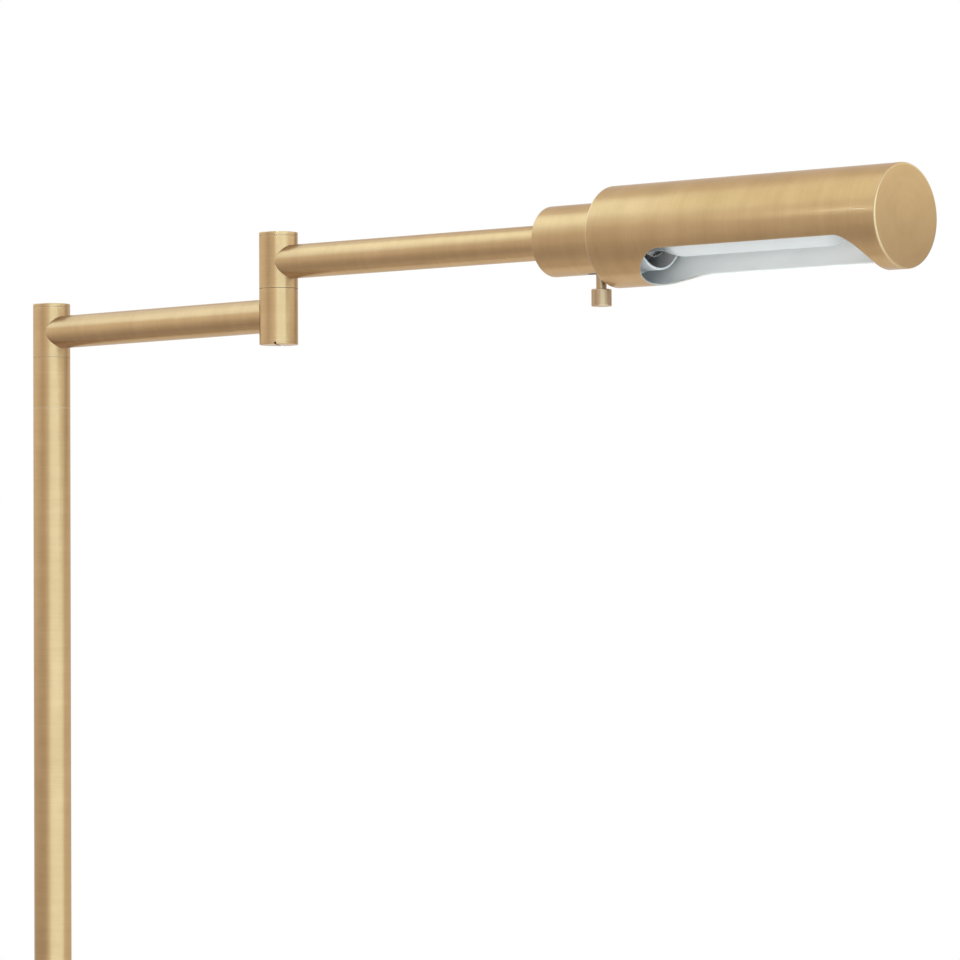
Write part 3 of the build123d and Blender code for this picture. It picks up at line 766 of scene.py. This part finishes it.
def addShade(spec, place):
    # every station has one closed loop: outside from one lip of the mouth round to the other, over the rim,
    # back along the inside and over the rim again; a lip at radius p lies at angle asin(half width / p)
    s = shadeStations(spec)
    half = mouthHalfWidth(s, spec)[:, None]
    rear = spec["rearRound"]
    left = np.clip(rear - s, 0, None)                          # still to go to the full radius
    outer = (spec["radius"] - rear + np.sqrt(rear ** 2 - left ** 2))[:, None]
    inner = np.full_like(outer, spec["radius"] - spec["wall"])
    bevel = spec["rimBevel"]
    back = (half > 0) * bevel / spec["radius"]                 # angle that a lip's bevel takes up
    count = spec["columns"] + 1
    share = np.linspace(0, 1, count)[None, :]

    def lipAngle(p):
        return np.arcsin(half / p)

    def arc(p):
        lip = lipAngle(p) + back
        return lip + share * (fullTurn - 2 * lip)

    first = lipAngle(outer - bevel)
    second = lipAngle(inner + bevel)
    angle = np.concatenate(
        [arc(outer), fullTurn - first, fullTurn - second, arc(inner)[:, ::-1], second, first], 1,
    )
    rim = [outer - bevel, inner + bevel]
    radius = np.concatenate([outer + 0 * share, *rim, inner + 0 * share, *rim[::-1]], 1)
    rows, columns = angle.shape
    points = pointsAt(place, radius, s[:, None], angle)
    walls = gridFaces(rows, columns, loopRows=False)
    row, column = np.divmod(np.arange(len(walls)), columns)
    onRim = ((column >= count - 1) & (column <= count + 1)) | (column >= 2 * count + 1)
    whole = (half[row, 0] == 0) & (half[row + 1, 0] == 0)      # no mouth here, so no rim either
    keep = ~(onRim & whole)
    j = np.arange(count - 1)
    facing = 2 * count + 1 - j                                 # inside column that faces outside column j
    ring = np.stack([j, j + 1, facing - 1, facing], 1)
    faces = np.concatenate([walls[keep], ring, ring + (rows - 1) * columns])
    coat = 1 * ((column > count + 1) & (column <= 2 * count)) + 2 * onRim
    painted = np.concatenate([coat[keep], np.zeros(2 * len(ring), int)])
    edge = np.zeros((rows, columns))
    # edges that get rubbed brass and a painted highlight: the mouth's lips and the rounded rear edge
    edge[:, [0, count - 1]] = half > 0
    edge[s <= rear] = 1
    coats = [brassHead, finish["whiteEnamel"], faded["rimEnamelShadedBack"]]
    return addPiece(spec, points, faces, edge.reshape(-1), coats, painted)


addShade(shadeTube, shadePlace)

frontCap = {
    "name": "shadeFrontCap", "body": "shade", "nodes": ["shade_front_cap"], "slot": "satin_brass",
    "outline": [
        (0, 220.6, 0), (31.75, 220.6, 1.2), (31.75, 218.6, 0.06), (30.72, 218.6, 0), (30.72, 214.6, 0.2),
        (29.72, 214.6, 0.2), (29.72, 218.6, 0), (0, 218.6, 0),
    ],
}
addTurned(frontCap, shadePlace, brassFace, turns=192)

rearPlate = {
    "name": "shadeRearPlate", "body": "shade", "nodes": ["shade_rear_plate"], "slot": "satin_brass",
    "outline": [(30.72, 0.6, 0), (30.72, 2.2, 0), (24.305, 2.2, 0.15), (24.305, 0.6, 0.15)],
    "paintFrom": 1.4,
}


def addRearPlate(spec, turns=160):
    # brass behind, painted with the rest of the inside in front
    points, faces, edge = turnedShape(spec["outline"], shadePlace, turns)
    ahead = points[faces].mean(1)[:, 0] > shadeBack[0] + spec["paintFrom"]
    return addPiece(spec, points, faces, edge, [brassHead, finish["whiteEnamel"]], ahead)


addRearPlate(rearPlate)
print("shade done")


# bulb: frosted tube with a soft shoulder and a round end, and a rolled screw base

bulbGlass = {
    "name": "bulbGlass", "body": "upper_arm", "nodes": ["bulb_glass"], "slot": "frosted_glass",
    "start": 307.7, "neckEnd": 322.7, "shoulder": 18.0, "end": 465.0,
    "neckR": 10.5, "tubeR": 15.0, "flareR": 4.0, "wall": 0.8, "arcSteps": 24,
}


def bulbOutline(spec, inset):
    # shoulder of a hollow and a full arc that meet at one slope, then a straight tube and a quarter circle
    t = np.linspace(0, 1, spec["arcSteps"])
    neck, tube, end = spec["neckR"] - inset, spec["tubeR"] - inset, spec["end"] - inset
    shoulder, flareR = spec["shoulder"], spec["flareR"]
    slope = 2 * math.atan2(tube - neck, shoulder)
    swellR = shoulder / math.sin(slope) - flareR
    rise = slope * t
    fall = rise[::-1]
    turn = quarterTurn * t
    full = spec["neckEnd"] + shoulder
    flare = np.stack([neck + flareR * (1 - np.cos(rise)), spec["neckEnd"] + flareR * np.sin(rise)], 1)
    swell = np.stack([tube - swellR * (1 - np.cos(fall)), full - swellR * np.sin(fall)], 1)
    nose = np.stack([tube * np.cos(turn), end - tube + tube * np.sin(turn)], 1)
    return np.concatenate([[[neck, spec["start"]]], flare, swell[1:], nose])


def addBulb(spec, turns=128):
    outline = np.concatenate([bulbOutline(spec, 0), bulbOutline(spec, spec["wall"])[::-1]])
    points, faces = lathe(outline, headPlace, turns)
    return addPiece(spec, points, faces, np.zeros(len(points)), [faded["bulbFrostShadedNeck"]])


addBulb(bulbGlass)

bulbBase = {
    "name": "bulbBase", "body": "upper_arm", "nodes": ["bulb_base"], "slot": "nickel_plate",
    "tip": 286.7, "back": 291.7, "front": 311.7, "radius": 13.1, "tipR": 5.0,
    "pitch": 3.63, "depth": 0.7, "plain": 5.0, "runOut": 1.5, "glassR": 10.53, "glassL": 4.0, "rows": 120,
}


def addBulbBase(spec, turns=96):
    # the radius falls by depth (1 - cos(2 pi h / pitch - t)) / 2 over the threaded part,
    # so the ridge climbs one pitch in a turn
    t = turnAngles(turns)
    h = np.linspace(spec["back"], spec["front"], spec["rows"])[:, None]
    start = (h - spec["back"]) / spec["runOut"]
    stop = (spec["front"] - spec["plain"] - h) / spec["runOut"]
    fade = np.clip(start, 0, 1) * np.clip(stop, 0, 1)
    ridge = spec["depth"] * fade * (1 - np.cos(fullTurn * h / spec["pitch"] - t)) / 2
    seat = spec["front"] - spec["glassL"]
    before = np.array([(0, spec["tip"]), (spec["tipR"], spec["tip"])])
    behind = np.array([(spec["glassR"], spec["front"]), (spec["glassR"], seat), (0, seat)])
    flat = np.ones((1, turns))
    r = np.concatenate([before[:, :1] * flat, spec["radius"] - ridge, behind[:, :1] * flat])
    z = np.concatenate([before[:, 1:] * flat, h * flat, behind[:, 1:] * flat])
    points = pointsAt(headPlace, r, z, t)
    return addPiece(spec, points, gridFaces(len(r), turns), np.zeros(r.size), [finish["nickelPlate"]])


addBulbBase(bulbBase)
print("bulb done")


# carried-over nodes and their finishes

slotFinish = {
    "plain_steel": finish["zincSteel"], "raw_brass": finish["bareBrass"], "cast_iron": finish["castIron"],
    "black_rubber": finish["blackRubber"], "grey_nylon": finish["greyNylon"],
    "dark_phenolic": finish["darkPhenolic"], "nickel_plate": finish["nickelPlate"],
}
nodeFinish = {
    "base_cover": brassPole, "elbow_bottom_cap": brassElbow, "socket_cup": paintedCup,
    "switch_sleeve": brassKnobShaded, "shade_turn_bush": faded["bushEnamel"],
}


def dressNodes():
    # brass, felt and glass nodes that finer pieces replace keep what they have
    recordSlot = {row["node"]: row["material_slot"] for row in frame["record"]["subparts"]}
    dressed = 0
    for name, obj in frame["nodes"].items():
        material = nodeFinish.get(name) or slotFinish.get(recordSlot[name])
        if material is not None:
            obj.material_slots[0].material = material
            dressed += 1
    return dressed


print("nodes dressed:", dressNodes())


# stage: pale floor, white surroundings, soft boxes, and screens that only reflections show

stageSet = {
    "floorRadius": 12.0, "floorSides": 96,
    "floorColour": colour(0.65, 0.65, 0.65), "floorRoughness": 0.9,
    "floorLift": 0.445,                 # brings what is seen of the floor up to the white of the surroundings
    "surround": 0.82,                   # what lights the lamp from all round
    "screenColumns": 33,
}

# screens round the lamp and over its shade, in degrees round from the viewer, below 0 to the left. A profile
# has distance from the centre, height and brightness. A tint shows more the darker a screen is, and turns
# into its opposite where the brightness is over 1.

greyTint = (1.06, 0.94, 0.98)
armsAt = (0.30, 0.0)
elbowAt = (0.23, 0.0)
screens = {
    "floorScreen": {
        "centre": armsAt, "from": -150.0, "to": -38.0, "tint": greyTint,
        "profile": [(0.30, 0.001, 0.92), (0.90, 0.001, 0.80), (1.50, 0.001, 0.58), (1.67, 0.15, 0.55)],
    },
    "sideScreen": {
        "centre": armsAt, "from": -106.0, "to": -44.0, "tint": greyTint,
        "profile": [(1.67, 0.15, 0.55), (1.70, 0.50, 0.59), (1.70, 0.80, 0.63), (1.70, 1.15, 0.82),
                    (1.70, 1.35, 1.02), (1.70, 1.50, 1.06), (1.70, 1.90, 1.12)],
    },
    "bandScreen": {                     # narrow, before the upper half of the side screen
        "centre": armsAt, "from": -82.0, "to": -54.0, "tint": greyTint,
        "profile": [(1.62, 1.15, 0.80), (1.62, 1.30, 0.76), (1.62, 1.60, 0.76), (1.62, 1.90, 0.90)],
    },
    "rearScreen": {                     # pale, behind the swivels
        "centre": armsAt, "from": -152.0, "to": -106.0, "tint": greyTint,
        "profile": [(1.70, 1.15, 1.0), (1.70, 1.30, 1.14), (1.70, 1.60, 1.14), (1.70, 1.90, 1.0)],
    },
    "lowScreen": {
        "centre": armsAt, "from": -138.0, "to": -106.0, "tint": greyTint,
        "profile": [(1.67, 0.15, 0.50), (1.70, 0.50, 0.48), (1.70, 0.80, 0.70), (1.70, 1.10, 0.88)],
    },
    "edgeScreen": {                     # behind the arms, at the right
        "centre": (0.0, 0.0), "from": 86.0, "to": 116.0, "tint": greyTint,
        "profile": [(0.85, 1.23, 0.70), (0.85, 1.29, 0.50), (0.85, 1.45, 0.50), (0.85, 1.52, 0.70)],
    },
    "flankScreen": {                    # behind the elbow, dark below and pale above
        "centre": elbowAt, "from": 58.0, "to": 104.0, "tint": greyTint,
        "profile": [(0.60, 1.265, 0.90), (0.60, 1.285, 0.56), (0.60, 1.345, 0.56), (0.60, 1.37, 1.30),
                    (0.60, 1.42, 1.60), (0.60, 1.60, 1.40)],
    },
    "overScreen": {                     # pale, past the shade
        "centre": elbowAt, "from": 28.0, "to": 58.0, "tint": (1.16, 1.0, 0.93),
        "profile": [(1.20, 1.385, 2.0), (1.20, 1.42, 2.9), (1.20, 1.75, 2.6)],
    },
    "capScreen": {                      # behind the front cap, at the right
        "centre": (0.74, 0.0), "from": 70.0, "to": 116.0, "tint": greyTint,
        "profile": [(0.22, 1.20, 0.68), (0.22, 1.33, 0.74), (0.22, 1.42, 1.45), (0.22, 1.55, 1.50)],
    },
    "shadeScreen": {                    # flat, over the front of the shade
        "centre": (0.459, 0.05), "from": -69.0, "to": 20.0, "tint": (1.235, 1.0, 1.168),
        "profile": [(0.10, 1.58, 1.42), (0.40, 1.58, 1.42)],
    },
}
softBoxes = {
    "keyBox": {"at": (-0.95, -0.66, 2.28), "aim": (0.30, 0.0, 1.33), "size": (1.1, 1.6), "glow": 1.0,
               "tint": (0.62, 1.0, 1.35), "shines": True},
    "highBox": {"at": (-0.75, -0.75, 2.95), "aim": (0.55, 0.0, 1.33), "size": (1.6, 1.0), "glow": 0.22,
                "tint": (0.90, 1.0, 0.50), "shines": True},
    "rearBox": {"at": (-1.24, 0.35, 2.56), "aim": (0.30, 0.0, 1.33), "size": (0.9, 0.8), "glow": 0.55,
                "tint": (0.60, 1.0, 1.45), "shines": True},
    "fillBox": {"at": (2.48, -0.76, 1.20), "aim": (0.10, 0.0, 1.20), "size": (4.9, 2.2), "glow": 0.95,
                "tint": (0.58, 0.98, 1.30), "shines": True},
    "frontBox": {"at": (1.00, -2.00, 1.05), "aim": (0.55, 0.0, 1.28), "size": (1.6, 1.6), "glow": 3.9,
                 "tint": (1.0, 1.0, 0.97), "shines": False},
    "glintStrip": {"at": (0.478, -0.374, 1.442), "aim": (0.478, -0.051, 1.343), "size": (0.075, 0.003),
                   "glow": 45.0, "tint": (0.80, 1.04, 1.14), "shines": True},
}


def seenItself(tree):
    # 1 where the camera, a mirror or a glass shows the surface, 0 where it only gives light
    path = node(tree, "ShaderNodeLightPath").outputs
    seen = calc(tree, "MAXIMUM", path["Is Camera Ray"], path["Is Glossy Ray"])
    return calc(tree, "MAXIMUM", seen, path["Is Transmission Ray"])


def addSurround(spec):
    world = bpy.data.worlds.new("surround")
    world.use_nodes = True
    tree = world.node_tree
    plain = tree.nodes["Background"]
    plain.inputs["Color"].default_value = colour(1, 1, 1)
    plain.inputs["Strength"].default_value = spec["surround"]
    white = node(tree, "ShaderNodeBackground", {"Color": colour(1, 1, 1), "Strength": 1.0})
    mix = node(tree, "ShaderNodeMixShader", {0: seenItself(tree), 1: plain.outputs[0], 2: white.outputs[0]})
    tree.links.new(mix.outputs[0], tree.nodes["World Output"].inputs["Surface"])
    scene.world = world


def addFloor(spec):
    # round sheet of paper; what is seen of it is a little lighter, and its shadow stays
    t = turnAngles(spec["floorSides"])
    points = np.stack([spec["floorRadius"] * np.cos(t), spec["floorRadius"] * np.sin(t), 0 * t], 1)
    mesh = bpy.data.meshes.new("floor")
    mesh.from_pydata(points.tolist(), [], [list(range(len(t)))])
    material = bpy.data.materials.new("paleFloor")
    tree, shader = newTree(material)
    shader.inputs["Base Color"].default_value = spec["floorColour"]
    shader.inputs["Roughness"].default_value = spec["floorRoughness"]
    shader.inputs["Emission Color"].default_value = colour(1, 1, 1)
    lift = mapRange(tree, seenItself(tree), (0.0, 1.0), high=spec["floorLift"])
    tree.links.new(lift, shader.inputs["Emission Strength"])
    mesh.materials.append(material)
    floor = bpy.data.objects.new("floor", mesh)
    scene.collection.objects.link(floor)


def addScreen(name, spec, columns):
    # profile of distances and heights carried part of the way round its centre
    toViewer = math.atan2(cameraView["at"][1], cameraView["at"][0])
    angle = np.radians(np.linspace(spec["from"], spec["to"], columns))[None, :] + toViewer
    distance, z, grey = np.array(spec["profile"]).T[:, :, None]
    x = spec["centre"][0] + distance * np.cos(angle)
    y = spec["centre"][1] + distance * np.sin(angle)
    points = np.stack([x, y, z + 0 * angle], -1)
    faces = gridFaces(len(z), columns, loopRows=False, loopColumns=False)
    mesh = bpy.data.meshes.new(name)
    mesh.from_pydata(points.reshape(-1, 3).tolist(), [], faces.tolist())
    tint = grey * np.array(spec["tint"]) ** (1 - grey)
    glow = np.repeat(np.concatenate([tint, np.ones_like(grey)], 1), columns, 0).astype(np.float32)
    mesh.attributes.new("glow", "FLOAT_COLOR", "POINT").data.foreach_set("color", glow.ravel())
    material = bpy.data.materials.new(name)
    tree, shader = newTree(material)
    shader.inputs["Base Color"].default_value = colour(0, 0, 0)
    shader.inputs["Specular IOR Level"].default_value = 0.0
    shown = node(tree, "ShaderNodeAttribute", attribute_name="glow").outputs["Color"]
    tree.links.new(shown, shader.inputs["Emission Color"])
    shader.inputs["Emission Strength"].default_value = 1.0
    mesh.materials.append(material)
    screen = bpy.data.objects.new(name, mesh)
    scene.collection.objects.link(screen)
    screen.visible_camera = False
    screen.visible_diffuse = False
    screen.visible_shadow = False
    screen.visible_transmission = False


def addSoftBox(name, spec):
    data = bpy.data.lights.new(name, "AREA")
    data.shape = "RECTANGLE"
    data.size, data.size_y = spec["size"]
    data.energy = spec["glow"] * math.pi * data.size * data.size_y     # so that its face has this brightness
    data.color = spec["tint"]
    lamp = bpy.data.objects.new(name, data)
    scene.collection.objects.link(lamp)
    lamp.location = spec["at"]
    lamp.visible_glossy = spec["shines"]
    lamp.rotation_euler = (Vector(spec["aim"]) - Vector(spec["at"])).to_track_quat("-Z", "Y").to_euler()


addSurround(stageSet)
addFloor(stageSet)
for name, spec in screens.items():
    addScreen(name, spec, stageSet["screenColumns"])
for name, spec in softBoxes.items():
    addSoftBox(name, spec)
scene.view_settings.view_transform = "Standard"
print("stage set:", len(screens), "screens,", len(softBoxes), "soft boxes")
